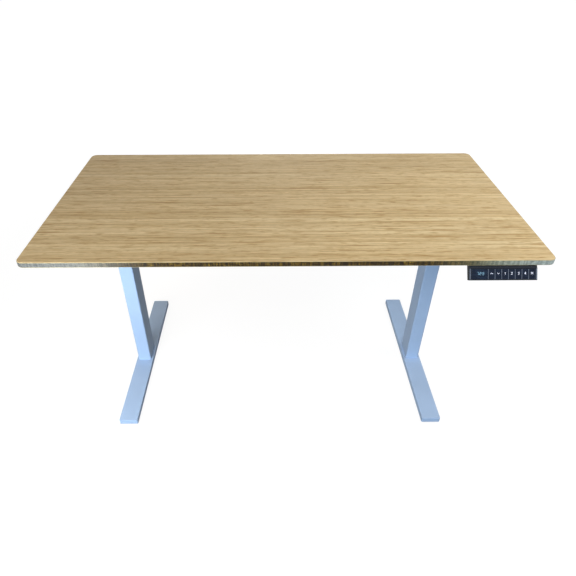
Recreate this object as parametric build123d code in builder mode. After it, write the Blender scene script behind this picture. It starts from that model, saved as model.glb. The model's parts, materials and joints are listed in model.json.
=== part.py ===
"""Height adjustable standing desk: a bamboo top on two motorised telescopic columns.

Millimetres, +Z up. X runs along the desk, -Y is the side where the user sits or stands.
The origin is on the floor, in the middle of the desk's footprint, with the handset counted in.
The desk stands at its resting height; each piece is written as one STEP file in parts/.
"""

import os
from math import acos, atan, cos, degrees, pi, radians, sin, tan

from build123d import *

# --- desktop
desk_height = 725.0
top_length = 1524.0
top_depth = 762.0
top_thickness = 18.0
top_corner_radius = 22.0
top_edge_round = 3.0
under_edge_round = 1.5

# --- travel of the columns, down and up from the resting height
lift_down = 35.0
lift_up = 425.0

# --- where the legs stand: in from each end of the top, and in front of its middle
leg_inset = 212.0
frame_forward = 40.0
frame_to_left = 13.0

# --- foot: a folded steel shell, open below
foot_length = 680.0
foot_width = 66.0
foot_height = 20.0
foot_wall = 2.5
foot_corner_radius = 4.0
foot_edge_round = 1.6

# --- levelling feet, screwed into plates welded inside the foot
leveller_pad_height = 6.0
leveller_pad_radius = 20.0
leveller_hex_width = 13.0
leveller_inset = 34.0
leveller_stud_radius = 4.0
leveller_stud_gap = 1.0
leveller_plate_thickness = 3.0
leveller_plate_length = 44.0
leveller_plate_lift = 3.0
leveller_boss_radius = 8.0
leveller_boss_height = 8.0
leveller_pad_bevel = 1.5
leveller_neck_height = 1.0

# --- column: outer tube on the foot, inner tube under the leg head
outer_tube_width = 50.0
outer_tube_depth = 80.0
outer_tube_wall = 1.5
outer_tube_corner = 5.0
inner_tube_wall = 1.5
inner_tube_corner = 4.0
tube_gap = 2.0
closing_gap = 6.0
collar_rim = 3.0
collar_round = 1.0
collar_skirt = 12.0
pad_height = 20.0
pad_margin = 8.0
base_plate_thickness = 8.0
inner_tube_rise = 4.0
pad_to_end = 2.0

# --- screw drive inside the column
push_tube_radius = 14.0
push_tube_wall = 2.5
push_tube_seat = 3.0
nut_head_height = 30.0
nut_spigot_height = 18.0
nut_top_gap = 28.0
spindle_radius = 8.0
spindle_rise = 8.0
spindle_stop_radius = 10.0
spindle_stop_height = 5.0
journal_radius = 6.0
journal_end_gap = 2.0
spindle_lead = 8.0

# --- worm gear: the wheel on the spindle, the worm on the motor's shaft, both right-handed
gear_module = 1.5
pressure_angle = 20.0
wheel_teeth = 24
wheel_width = 14.0
wheel_hub_wall = 3.0
worm_starts = 2
worm_pitch_radius = 6.0
worm_turns = 3
worm_land = 3.0
worm_shaft_radius = 4.0
addendum_share = 0.93
dedendum_share = 1.25
flank_gap = 0.25
tooth_sink = 0.3

# --- bearing and gearbox
bearing_radius = 16.0
bearing_height = 10.0
bearing_floor = 10.0
bearing_to_wheel = 3.0
bearing_groove_depth = 1.9
bearing_inner_race = 9.9
bearing_outer_race = 12.8
gearbox_half_length = 38.0
gearbox_front = 34.0
gearbox_cover_thickness = 3.0
gearbox_roof = 10.0
worm_clearance = 1.6
worm_journal_depth = 6.0
gearbox_far_wall = 10.0
gearbox_corner = 6.0
wheel_clearance = 1.2
cover_bush_wall = 4.0
gearbox_bolt_pitch_x = 62.0
gearbox_bolt_pitch_y = 50.0

# --- motor
motor_radius = 24.0
motor_length = 108.0
motor_flange_thickness = 5.0
motor_cap_length = 16.0
motor_can_step = 0.5
motor_cap_round = 3.0
motor_flange_corner = 8.0
motor_shaft_bore_depth = 22.0

# --- leg head: the steel channel that carries gearbox, motor and rails
head_height = 66.0
head_wall = 2.0
head_side_gap = 2.0
head_outer_reach = 46.0
head_inner_reach = 245.0
head_corner_round = 3.0
head_tab_length = 56.0
head_tab_width = 17.0

# --- side bracket: the tapered channel between leg head and top
bracket_behind_handset = 13.0
bracket_width = 64.0
bracket_height = 24.0
bracket_plate = 3.0
bracket_taper = 130.0
bracket_tip_height = 8.0
bracket_corner = 8.0
bracket_bolt_pitch = 32.0
head_notch_gap = 1.0

# --- rails that join the two leg heads
rail_width = 15.0
rail_height = 30.0
rail_wall = 1.5
rail_corner = 2.0
rail_overlap = 195.0
rail_drop = 5.0
rail_bolt_near = 30.0
rail_bolt_pitch = 120.0
rail_bolt_end = 1.5

# --- fasteners
bolt_radius = 3.0
bolt_hole_radius = 3.3
bolt_head_radius = 5.5
bolt_head_height = 3.6
foot_bolt_radius = 4.0
foot_bolt_hole_radius = 4.5
foot_bolt_head_radius = 7.0
foot_bolt_head_height = 4.5
foot_bolt_pitch_x = 24.0
foot_bolt_pitch_y = 54.0
insert_radius = 4.5
insert_depth = 12.0
screw_bite = 10.0
wood_screw_radius = 2.0
wood_screw_head_radius = 4.0
wood_screw_head_height = 2.6
wood_screw_bite = 12.0
desktop_screw_from_head = 58.0
desktop_screw_from_end = 30.0
thread_relief = 1.0
insert_bore_radius = 3.0

# --- control box
box_length = 260.0
box_depth = 100.0
box_height = 36.0
box_wall = 2.5
box_corner = 8.0
box_lid_thickness = 3.0
box_behind_rail = 22.0
box_ear_length = 18.0
box_ear_thickness = 4.0
box_ear_width = 30.0
box_lip_height = 4.0
socket_wall = 1.5
socket_depth = 16.0
socket_floor = 4.0
socket_proud = 0.8
box_lid_round = 1.0
sockets = ((-88.0, 27.0, 20.0), (-30.0, 20.0, 13.0), (8.0, 20.0, 13.0), (62.0, 15.0, 13.0))

# --- handset: a wedge under the front edge, its face leaning back
handset_width = 192.0
handset_face_height = 34.5
handset_tilt = 34.0
handset_from_edge = 54.0
handset_stand_out = 4.0
handset_drop = 6.0
handset_body_depth = 14.0
handset_flange_thickness = 4.0
handset_flange_depth = 44.0
handset_flange_clear = 14.0
handset_screw_pitch = 140.0
shell_rim = 1.0
bezel_thickness = 2.4
bezel_rim = 2.0
bezel_end = 4.5
bezel_rib = 0.9
bezel_corner = 3.0
key_corner = 1.0
display_width = 48.0
key_count = 7
key_travel = 0.8
key_sink = 0.2
key_cap_thickness = 2.0
key_stem_radius = 2.2
board_depth = 6.0
board_thickness = 1.6
pocket_rim = 1.5
display_sink = 0.4
display_block_margin = 3.0

# --- clearances
slide_gap = 0.3
running_gap = 0.05
edge_bevel = 0.8
screw_gap = 0.05
fit_gap = 0.2
axial_play = 0.1

# --- places worked out from the sizes above
lean = radians(handset_tilt)
handset_reach = handset_stand_out + handset_face_height * sin(lean)
top_y = handset_reach / 2
front_edge = top_y - top_depth / 2
frame_x = -frame_to_left
frame_y = top_y - frame_forward
leg_spacing = top_length - 2 * leg_inset
underside = desk_height - top_thickness
foot_bottom = leveller_pad_height
foot_top = foot_bottom + foot_height
base_plate_top = foot_top + base_plate_thickness
head_top = underside - bracket_plate
head_bottom = head_top - head_height
head_floor = head_bottom + head_wall
outer_tube_top = head_bottom - lift_down - closing_gap - collar_rim
inner_tube_bottom = base_plate_top + lift_down + inner_tube_rise
bore_width = outer_tube_width - 2 * outer_tube_wall
bore_depth = outer_tube_depth - 2 * outer_tube_wall
bore_corner = outer_tube_corner - outer_tube_wall
inner_tube_width = bore_width - 2 * tube_gap
inner_tube_depth = bore_depth - 2 * tube_gap
nut_top = head_bottom - lift_down - nut_top_gap
nut_seat = nut_top - nut_head_height
push_tube_bore = push_tube_radius - push_tube_wall
spindle_bottom = base_plate_top + lift_down + spindle_rise
bearing_bottom = head_floor + bearing_floor
bearing_top = bearing_bottom + bearing_height
wheel_bottom = bearing_top + bearing_to_wheel
wheel_pitch_radius = gear_module * wheel_teeth / 2
wheel_base_radius = wheel_pitch_radius * cos(radians(pressure_angle))
wheel_tip_radius = wheel_pitch_radius + addendum_share * gear_module
wheel_root_radius = wheel_pitch_radius - dedendum_share * gear_module
worm_tip_radius = worm_pitch_radius + addendum_share * gear_module
worm_root_radius = worm_pitch_radius - dedendum_share * gear_module
worm_bore_radius = worm_tip_radius + worm_clearance
axial_pitch = pi * gear_module
worm_lead = worm_starts * axial_pitch
worm_length = worm_turns * worm_lead + 2 * worm_land
lead_angle = atan(worm_lead / (2 * pi * worm_pitch_radius))
wheel_twist = degrees(wheel_width * tan(lead_angle) / wheel_pitch_radius)
worm_height = wheel_bottom + wheel_width / 2
worm_y = frame_y + wheel_pitch_radius + worm_pitch_radius
gearbox_back = worm_y - frame_y + motor_radius
gearbox_top = wheel_bottom + wheel_width + gearbox_roof
head_width = 2 * (gearbox_back + head_side_gap + head_wall)
handset_back = front_edge + handset_stand_out + handset_flange_depth
bracket_length = 2 * (frame_y - handset_back - bracket_behind_handset)
rail_top = head_top - rail_drop
rail_middle = rail_top - rail_height / 2
rail_half_length = leg_spacing / 2 - head_inner_reach + rail_overlap
rail_offset = head_width / 2 + rail_width / 2
box_top = underside
box_y = frame_y + rail_offset + rail_width / 2 + box_behind_rail + box_depth / 2
box_back = box_y + box_depth / 2
handset_x = top_length / 2 - handset_from_edge - handset_width / 2
face_y = front_edge - handset_stand_out - handset_face_height / 2 * sin(lean)
face_z = underside - handset_drop - handset_face_height / 2 * cos(lean)
face_plane = Plane(origin=(handset_x, face_y, face_z), x_dir=(1, 0, 0), z_dir=(0, -cos(lean), sin(lean)))
bezel_width = handset_width - 2 * shell_rim
bezel_height = handset_face_height - 2 * shell_rim
panel_width = bezel_width - 2 * bezel_end
key_pitch = (panel_width - display_width) / key_count
window_height = bezel_height - 2 * bezel_rim
key_window_width = key_pitch - bezel_rib
display_window_width = display_width - bezel_rib
pocket_width = bezel_width - 2 * pocket_rim
pocket_height = bezel_height - 2 * pocket_rim
display_u = (display_width - panel_width) / 2
first_key_u = display_width + (key_pitch - panel_width) / 2
legs = (("left", frame_x - leg_spacing / 2, 1), ("right", frame_x + leg_spacing / 2, -1))
key_names = ("up", "down", "one", "two", "three", "four", "memory")


def save(name, maker):
    """Name a finished piece and write it as its own STEP file."""
    maker.part.label = name
    export_step(maker.part, f"parts/{name}.step")



def bar(plane, radius, start, length, mode=Mode.ADD):
    """A round bar along a plane's normal, from a start height."""
    with BuildSketch(plane.offset(start)) as section:
        Circle(radius)
    extrude(section.sketch, amount=length, mode=mode)


def block(plane, width, depth, start, length, corner=0.0, mode=Mode.ADD):
    """A block with rounded corners along a plane's normal, from a start height."""
    with BuildSketch(plane.offset(start)) as section:
        if corner > 0:
            RectangleRounded(width, depth, corner)
        else:
            Rectangle(width, depth)
    extrude(section.sketch, amount=length, mode=mode)


def upright(x, y):
    """A plane facing up, with its origin on the floor at x, y."""
    return Plane.XY.shift_origin((x, y, 0))


def make_desktop():
    with BuildPart() as desktop:
        block(upright(0, top_y), top_length, top_depth, underside, top_thickness, top_corner_radius)
        fillet(desktop.faces().sort_by(Axis.Z)[-1].edges(), top_edge_round)
        fillet(desktop.faces().sort_by(Axis.Z)[0].edges(), under_edge_round)
        for x, y in desktop_screw_places():
            bar(upright(x, y), insert_radius, underside, insert_depth + thread_relief, Mode.SUBTRACT)
        for x, y in wood_screw_places():
            bar(upright(x, y), wood_screw_radius, underside, wood_screw_bite + thread_relief, Mode.SUBTRACT)
    save("desktop", desktop)


def desktop_screw_places():
    """Where the side brackets are screwed to the top."""
    reaches = (head_width / 2 + desktop_screw_from_head, bracket_length / 2 - desktop_screw_from_end)
    offsets = [sign * reach for reach in reaches for sign in (-1, 1)]
    return [(x, frame_y + offset) for _, x, _ in legs for offset in offsets]


def box_screw_places():
    reach = box_length / 2 + box_ear_length / 2
    return [(frame_x - reach, box_y), (frame_x + reach, box_y)]


def handset_screw_places():
    y = front_edge + handset_stand_out + (handset_flange_depth + handset_flange_clear) / 2
    return [(handset_x - handset_screw_pitch / 2, y), (handset_x + handset_screw_pitch / 2, y)]


def wood_screw_places():
    return box_screw_places() + handset_screw_places()


def make_desktop_inserts():
    with BuildPart() as inserts:
        for x, y in desktop_screw_places():
            bar(upright(x, y), insert_radius - screw_gap, underside, insert_depth)
            bar(upright(x, y), insert_bore_radius, underside, insert_depth, Mode.SUBTRACT)
    save("desktop_inserts", inserts)


def make_desktop_screws():
    with BuildPart() as screws:
        for x, y in desktop_screw_places():
            bar(upright(x, y), bolt_head_radius, head_top - bolt_head_height, bolt_head_height)
            bar(upright(x, y), insert_bore_radius - screw_gap, head_top, bracket_plate + screw_bite)
    save("desktop_screws", screws)


def make_wood_screws():
    with BuildPart() as screws:
        for places, seat in (
            (box_screw_places(), underside - box_ear_thickness),
            (handset_screw_places(), underside - handset_flange_thickness),
        ):
            length = underside - seat + wood_screw_bite
            for x, y in places:
                where = upright(x, y)
                bar(where, wood_screw_head_radius, seat - wood_screw_head_height, wood_screw_head_height)
                bar(where, wood_screw_radius - screw_gap, seat, length)
    save("wood_screws", screws)


def leveller_places(x):
    """Front and back levelling feet of the leg at x."""
    reach = foot_length / 2 - leveller_inset
    return (("front", x, frame_y - reach), ("back", x, frame_y + reach))


def foot_bolt_places(x):
    with Locations((x, frame_y)):
        return [place.position for place in GridLocations(foot_bolt_pitch_x, foot_bolt_pitch_y, 2, 2)]


def make_foot(side, x):
    inner_corner = foot_corner_radius - foot_wall
    inner_width = foot_width - 2 * foot_wall
    inner_length = foot_length - 2 * foot_wall
    with BuildPart() as foot:
        block(upright(x, frame_y), foot_width, foot_length, foot_bottom, foot_height, foot_corner_radius)
        fillet(foot.faces().sort_by(Axis.Z)[-1].edges(), foot_edge_round)
        block(
            upright(x, frame_y),
            inner_width,
            inner_length,
            foot_bottom,
            foot_height - foot_wall,
            inner_corner,
            Mode.SUBTRACT,
        )
        for place in foot_bolt_places(x):
            bar(upright(place.X, place.Y), foot_bolt_hole_radius, foot_bottom, foot_height, Mode.SUBTRACT)
    save(f"{side}_foot", foot)


def make_foot_bolts(side, x):
    seat = foot_top - foot_wall
    with BuildPart() as bolts:
        for place in foot_bolt_places(x):
            where = upright(place.X, place.Y)
            bar(where, foot_bolt_head_radius, seat - foot_bolt_head_height, foot_bolt_head_height)
            bar(where, foot_bolt_radius - screw_gap, seat, foot_wall + base_plate_thickness - screw_gap)
    save(f"{side}_foot_bolts", bolts)


def make_leveller_plates(side, x):
    """Cross plates welded between the foot's side walls, each with a threaded boss."""
    bottom = foot_bottom + leveller_plate_lift
    with BuildPart() as plates:
        for _, place_x, place_y in leveller_places(x):
            where = upright(place_x, place_y)
            block(where, foot_width - 2 * foot_wall, leveller_plate_length, bottom, leveller_plate_thickness)
            boss_bottom = bottom + leveller_plate_thickness
            bar(where, leveller_boss_radius, boss_bottom, leveller_boss_height)
            whole = leveller_plate_thickness + leveller_boss_height
            bar(where, leveller_stud_radius, bottom, whole, Mode.SUBTRACT)
    save(f"{side}_leveller_plates", plates)


def make_leveller(side, end, x, y):
    """A round pad on the floor, a hexagon for the spanner and a threaded stud."""
    hex_bottom = leveller_pad_height - leveller_neck_height
    hex_top = foot_bottom + leveller_plate_lift - slide_gap
    stud_end = foot_top - foot_wall - leveller_stud_gap
    with BuildPart() as leveller:
        bar(upright(x, y), leveller_pad_radius, 0, hex_bottom)
        chamfer(leveller.edges().group_by(Axis.Z)[-1], leveller_pad_bevel)
        with BuildSketch(Plane.XY.offset(hex_bottom)):
            with Locations((x, y)):
                RegularPolygon(leveller_hex_width / 2, 6, major_radius=False)
        extrude(amount=hex_top - hex_bottom)
        bar(upright(x, y), leveller_stud_radius - running_gap, hex_top, stud_end - hex_top)
        chamfer(leveller.edges().group_by(Axis.Z)[-1], edge_bevel)
    save(f"{side}_{end}_leveller", leveller)


def make_base_plate(side, x):
    """The thick plate welded into the bottom of the outer tube, bolted through the foot."""
    width = bore_width - 2 * fit_gap
    depth = bore_depth - 2 * fit_gap
    with BuildPart() as plate:
        block(upright(x, frame_y), width, depth, foot_top, base_plate_thickness, bore_corner)
        for place in foot_bolt_places(x):
            bar(upright(place.X, place.Y), foot_bolt_radius, foot_top, base_plate_thickness, Mode.SUBTRACT)
        seat = base_plate_top - push_tube_seat
        bar(upright(x, frame_y), push_tube_radius + screw_gap, seat, push_tube_seat, Mode.SUBTRACT)
    save(f"{side}_base_plate", plate)


def make_outer_tube(side, x):
    length = outer_tube_top - foot_top
    with BuildPart() as tube:
        with BuildSketch(Plane.XY.offset(foot_top)):
            with Locations((x, frame_y)):
                RectangleRounded(outer_tube_width, outer_tube_depth, outer_tube_corner)
                RectangleRounded(bore_width, bore_depth, bore_corner, mode=Mode.SUBTRACT)
        extrude(amount=length)
    save(f"{side}_outer_tube", tube)


def make_column_collar(side, x):
    """The plastic rim on the outer tube, with a skirt that guides the inner tube."""
    where = upright(x, frame_y)
    skirt_width = bore_width - 2 * screw_gap
    skirt_depth = bore_depth - 2 * screw_gap
    opening_width = inner_tube_width + 2 * slide_gap
    opening_depth = inner_tube_depth + 2 * slide_gap
    opening_corner = inner_tube_corner + slide_gap
    bottom = outer_tube_top - collar_skirt
    height = collar_skirt + collar_rim
    with BuildPart() as collar:
        block(where, skirt_width, skirt_depth, bottom, collar_skirt, bore_corner)
        block(where, outer_tube_width, outer_tube_depth, outer_tube_top, collar_rim, outer_tube_corner)
        fillet(collar.faces().sort_by(Axis.Z)[-1].edges(), collar_round)
        block(where, opening_width, opening_depth, bottom, height, opening_corner, Mode.SUBTRACT)
    save(f"{side}_column_collar", collar)


def make_inner_tube(side, x):
    hollow_width = inner_tube_width - 2 * inner_tube_wall
    hollow_depth = inner_tube_depth - 2 * inner_tube_wall
    hollow_corner = inner_tube_corner - inner_tube_wall
    with BuildPart() as tube:
        with BuildSketch(Plane.XY.offset(inner_tube_bottom)):
            with Locations((x, frame_y)):
                RectangleRounded(inner_tube_width, inner_tube_depth, inner_tube_corner)
                RectangleRounded(hollow_width, hollow_depth, hollow_corner, mode=Mode.SUBTRACT)
        extrude(amount=head_bottom - inner_tube_bottom)
    save(f"{side}_inner_tube", tube)


def make_glide_pads():
    """Two rings of four plastic pads round the lower end of each inner tube."""
    thickness = tube_gap - slide_gap
    low = inner_tube_bottom + pad_to_end
    high = outer_tube_top - collar_skirt - lift_up - pad_to_end - pad_height
    with BuildPart() as pads:
        for _, x, _ in legs:
            for bottom in (low, high):
                with BuildSketch(Plane.XY.offset(bottom)) as section:
                    across = (inner_tube_width + thickness) / 2
                    along = (inner_tube_depth + thickness) / 2
                    with Locations((x - across, frame_y), (x + across, frame_y)):
                        Rectangle(thickness, inner_tube_depth - 2 * pad_margin)
                    with Locations((x, frame_y - along), (x, frame_y + along)):
                        Rectangle(inner_tube_width - 2 * pad_margin, thickness)
                extrude(section.sketch, amount=pad_height)
    save("glide_pads", pads)


def make_push_tube(side, x):
    """The round tube on the base plate that holds the nut up inside the column."""
    bottom = base_plate_top - push_tube_seat
    with BuildPart() as tube:
        bar(upright(x, frame_y), push_tube_radius, bottom, nut_seat - bottom)
        bar(upright(x, frame_y), push_tube_bore, bottom, nut_seat - bottom, Mode.SUBTRACT)
    save(f"{side}_push_tube", tube)


def make_spindle_nut(side, x):
    """The nut on top of the push tube, with a spigot inside it."""
    with BuildPart() as nut:
        bar(upright(x, frame_y), push_tube_radius, nut_seat, nut_head_height)
        chamfer(nut.edges().group_by(Axis.Z)[-1], 2 * edge_bevel)
        spigot_bottom = nut_seat - nut_spigot_height
        bar(upright(x, frame_y), push_tube_bore - screw_gap, spigot_bottom, nut_spigot_height)
        bore = spindle_radius + running_gap
        bar(upright(x, frame_y), bore, spigot_bottom, nut_spigot_height + nut_head_height, Mode.SUBTRACT)
    save(f"{side}_spindle_nut", nut)


def make_spindle(side, x):
    """The lifting screw, with a stop ring at its foot and a journal through the gearbox."""
    shoulder = bearing_bottom - axial_play
    journal_top = gearbox_top - journal_end_gap
    with BuildPart() as spindle:
        bar(upright(x, frame_y), spindle_stop_radius, spindle_bottom, spindle_stop_height)
        thread_bottom = spindle_bottom + spindle_stop_height
        bar(upright(x, frame_y), spindle_radius, thread_bottom, shoulder - thread_bottom)
        bar(upright(x, frame_y), journal_radius - running_gap, shoulder, journal_top - shoulder)
        chamfer(spindle.edges().group_by(Axis.Z)[-1], edge_bevel)
    save(f"{side}_spindle", spindle)


def involute(angle):
    """The involute function, of an angle in radians."""
    return tan(angle) - angle


def tooth_half_thickness(radius):
    """Half the thickness of a wheel tooth at a radius: an involute, thinned by the gap at each flank."""
    half_angle = (axial_pitch / 4 - flank_gap) / wheel_pitch_radius
    unrolled = involute(acos(wheel_base_radius / radius))
    return radius * (half_angle + involute(radians(pressure_angle)) - unrolled)


def wheel_tooth():
    """One tooth of the wheel along +X: straight from the root to the base circle, then involute flanks."""
    steps = 4
    rise = (wheel_tip_radius - wheel_base_radius) / steps
    radii = [wheel_base_radius + step * rise for step in range(steps + 1)]
    tip_half = tooth_half_thickness(wheel_tip_radius)
    base_half = tooth_half_thickness(wheel_base_radius)
    foot = wheel_root_radius - tooth_sink
    with BuildSketch() as tooth:
        with BuildLine():
            Line((foot, base_half), (wheel_base_radius, base_half))
            Spline(*[(radius, tooth_half_thickness(radius)) for radius in radii])
            mirror(about=Plane.XZ)
            Line((wheel_tip_radius, tip_half), (wheel_tip_radius, -tip_half))
            Line((foot, base_half), (foot, -base_half))
        make_face()
    return tooth.sketch


def make_worm_wheel(side, x):
    """A helical wheel on the spindle's journal, one tooth towards the worm, and a hub down to the bearing."""
    hub_bottom = bearing_top + axial_play
    with BuildSketch() as outline:
        Circle(wheel_root_radius)
        with PolarLocations(0, wheel_teeth, start_angle=90):
            add(wheel_tooth())
    with BuildPart() as wheel:
        for share in (0, 0.5, 1):
            with BuildSketch(upright(x, frame_y).offset(wheel_bottom + share * wheel_width)):
                add(outline.sketch, rotation=(share - 0.5) * wheel_twist)
        loft(ruled=True)
        bar(upright(x, frame_y), journal_radius + wheel_hub_wall, hub_bottom, wheel_bottom - hub_bottom)
        bore_length = wheel_bottom + wheel_width - hub_bottom
        bar(upright(x, frame_y), journal_radius, hub_bottom, bore_length, Mode.SUBTRACT)
    save(f"{side}_worm_wheel", wheel)


def make_spindle_bearings():
    """The ball bearings that carry the load of the top onto the spindles."""
    with BuildPart() as bearings:
        for _, x, _ in legs:
            bar(upright(x, frame_y), bearing_radius - screw_gap, bearing_bottom, bearing_height)
            bar(upright(x, frame_y), journal_radius, bearing_bottom, bearing_height, Mode.SUBTRACT)
            with BuildSketch(Plane.XY.offset(bearing_top - bearing_groove_depth)) as ring:
                with Locations((x, frame_y)):
                    Circle(bearing_outer_race)
                    Circle(bearing_inner_race, mode=Mode.SUBTRACT)
            extrude(ring.sketch, amount=bearing_groove_depth, mode=Mode.SUBTRACT)
    save("spindle_bearings", bearings)


def along_leg(x, inward, y, z):
    """A plane at height z whose normal points from the leg at x towards the middle of the desk."""
    return Plane(origin=(x, y, z), x_dir=(0, 1, 0), z_dir=(inward, 0, 0))


def gearbox_bolt_places(x):
    with Locations((x, frame_y)):
        return [place.position for place in GridLocations(gearbox_bolt_pitch_x, gearbox_bolt_pitch_y, 2, 2)]


def make_gearbox_case(side, x, inward):
    """The cast case: floor, bearing seat, wheel chamber and the bore for the worm."""
    length = 2 * gearbox_half_length
    depth = gearbox_front + gearbox_back
    middle_y = frame_y + (gearbox_back - gearbox_front) / 2
    worm_axis = along_leg(x, inward, worm_y, worm_height)
    with BuildPart() as case:
        block(upright(x, middle_y), length, depth, head_floor, gearbox_top - head_floor, gearbox_corner)
        chamber = wheel_tip_radius + wheel_clearance
        chamber_floor = wheel_bottom - wheel_clearance
        bearing_seat = chamber_floor - bearing_bottom
        bar(upright(x, frame_y), chamber, chamber_floor, gearbox_top - chamber_floor, Mode.SUBTRACT)
        bar(upright(x, frame_y), bearing_radius, bearing_bottom, bearing_seat, Mode.SUBTRACT)
        bar(upright(x, frame_y), spindle_radius + wheel_clearance, head_floor, bearing_floor, Mode.SUBTRACT)
        far = gearbox_far_wall - gearbox_half_length
        bar(worm_axis, worm_bore_radius, far, gearbox_half_length - far, Mode.SUBTRACT)
        bar(worm_axis, worm_shaft_radius, far - worm_journal_depth, worm_journal_depth, Mode.SUBTRACT)
        for place in gearbox_bolt_places(x):
            bar(upright(place.X, place.Y), bolt_radius, head_floor, screw_bite + thread_relief, Mode.SUBTRACT)
    save(f"{side}_gearbox_case", case)


def make_gearbox_covers():
    """The lid of each gearbox, with a bush for the top of the spindle."""
    depth = gearbox_front + gearbox_back
    middle_y = frame_y + (gearbox_back - gearbox_front) / 2
    bush_bottom = wheel_bottom + wheel_width + wheel_clearance
    with BuildPart() as covers:
        for _, x, _ in legs:
            block(
                upright(x, middle_y),
                2 * gearbox_half_length,
                depth,
                gearbox_top,
                gearbox_cover_thickness,
                gearbox_corner,
            )
            bar(upright(x, frame_y), journal_radius + cover_bush_wall, bush_bottom, gearbox_top - bush_bottom)
            bar(upright(x, frame_y), journal_radius, bush_bottom, gearbox_top - bush_bottom, Mode.SUBTRACT)
    save("gearbox_covers", covers)


def worm_half_thickness(radius):
    """Half the thickness along the axis of a worm thread at a radius: straight flanks, as a rack's."""
    return axial_pitch / 4 - flank_gap + (worm_pitch_radius - radius) * tan(radians(pressure_angle))


def worm_thread(x):
    """One thread of the worm, swept along a helix that starts just inside the core, above the axis."""
    low = worm_root_radius - tooth_sink
    length = worm_turns * worm_lead
    begin = (x - length / 2, worm_y, worm_height)
    low_half = worm_half_thickness(low)
    tip_half = worm_half_thickness(worm_tip_radius)
    rise = worm_tip_radius - low
    with BuildPart() as thread:
        with BuildLine() as coil:
            Helix(pitch=worm_lead, height=length, radius=low, center=begin, direction=(1, 0, 0))
        with BuildSketch(Plane(origin=coil.line @ 0, x_dir=(0, 0, 1), z_dir=(0, -1, 0))):
            Polygon((0, -low_half), (rise, -tip_half), (rise, tip_half), (0, low_half), align=None)
        sweep(path=coil.line, is_frenet=True)
    return thread.part


def make_worm_shaft(side, x, inward):
    """The motor's shaft with the worm on it, from the far wall of the gearbox into the motor."""
    axis = along_leg(x, inward, worm_y, worm_height)
    start = gearbox_far_wall - gearbox_half_length - worm_journal_depth + slide_gap
    end = gearbox_half_length + motor_shaft_bore_depth - slide_gap
    centre_line = Axis((x, worm_y, worm_height), (1, 0, 0))
    thread = worm_thread(x)
    with BuildPart() as shaft:
        bar(axis, worm_shaft_radius - running_gap, start, end - start)
        bar(axis, worm_root_radius, -worm_length / 2, worm_length)
        for start_number in range(worm_starts):
            add(thread.rotate(centre_line, 360 * start_number / worm_starts))
    save(f"{side}_worm_shaft", shaft)


def make_motor(side, x, inward):
    """A round motor bolted to the gearbox, with a stepped rear cap and a bore for its shaft."""
    axis = along_leg(x, inward, worm_y, worm_height)
    front = gearbox_half_length
    can_front = front + motor_flange_thickness
    cap_front = can_front + motor_length
    with BuildPart() as motor:
        width = 2 * motor_radius
        block(axis, width, width, front, motor_flange_thickness, motor_flange_corner)
        bar(axis, motor_radius - motor_can_step, can_front, motor_length)
        bar(axis, motor_radius, cap_front, motor_cap_length)
        fillet(motor.edges().filter_by(GeomType.CIRCLE).sort_by(axis_along(inward))[-1], motor_cap_round)
        bar(axis, worm_shaft_radius, front, motor_shaft_bore_depth, Mode.SUBTRACT)
    save(f"{side}_motor", motor)


def axis_along(inward):
    return Axis((0, 0, 0), (inward, 0, 0))


def make_leg_head(side, x, inward):
    """A steel channel, open above, with one end closed and tabs for the side bracket's bolts."""
    length = head_outer_reach + head_inner_reach
    middle = x + inward * (head_inner_reach - head_outer_reach) / 2
    inside_middle = middle + inward * head_wall / 2
    rail_bolts = [x + inward * reach for reach in rail_bolt_reaches()]
    with BuildPart() as head:
        block(upright(middle, frame_y), length, head_width, head_bottom, head_height)
        fillet(head.edges().filter_by(Axis.X).group_by(Axis.Z)[0], head_corner_round)
        block(
            upright(inside_middle, frame_y),
            length - head_wall,
            head_width - 2 * head_wall,
            head_floor,
            head_height - head_wall,
            mode=Mode.SUBTRACT,
        )
        tab_reach = head_width / 2 + head_tab_width / 2 - head_wall / 2
        for y in (frame_y - tab_reach, frame_y + tab_reach):
            block(upright(x, y), head_tab_length, head_tab_width + head_wall, head_top - head_wall, head_wall)
        bar(upright(x, frame_y), spindle_radius + wheel_clearance, head_bottom, head_wall, Mode.SUBTRACT)
        for place in gearbox_bolt_places(x):
            bar(upright(place.X, place.Y), bolt_hole_radius, head_bottom, head_wall, Mode.SUBTRACT)
        for place in bracket_bolt_places(x):
            bar(upright(place.X, place.Y), bolt_hole_radius, head_top - head_wall, head_wall, Mode.SUBTRACT)
        for bolt_x in rail_bolts:
            across = Plane(origin=(bolt_x, frame_y, rail_middle), x_dir=(1, 0, 0), z_dir=(0, 1, 0))
            bar(across, bolt_radius, -head_width / 2, head_width, Mode.SUBTRACT)
    save(f"{side}_leg_head", head)


def rail_bolt_reaches():
    """How far from the leg's axis the rail bolts are, towards the middle of the desk."""
    rail_end = head_inner_reach - rail_overlap
    return (rail_end + rail_bolt_near, rail_end + rail_bolt_near + rail_bolt_pitch)


def bracket_bolt_places(x):
    reach = head_width / 2 + head_tab_width / 2
    with Locations((x, frame_y)):
        return [place.position for place in GridLocations(bracket_bolt_pitch, 2 * reach, 2, 2)]


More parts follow.
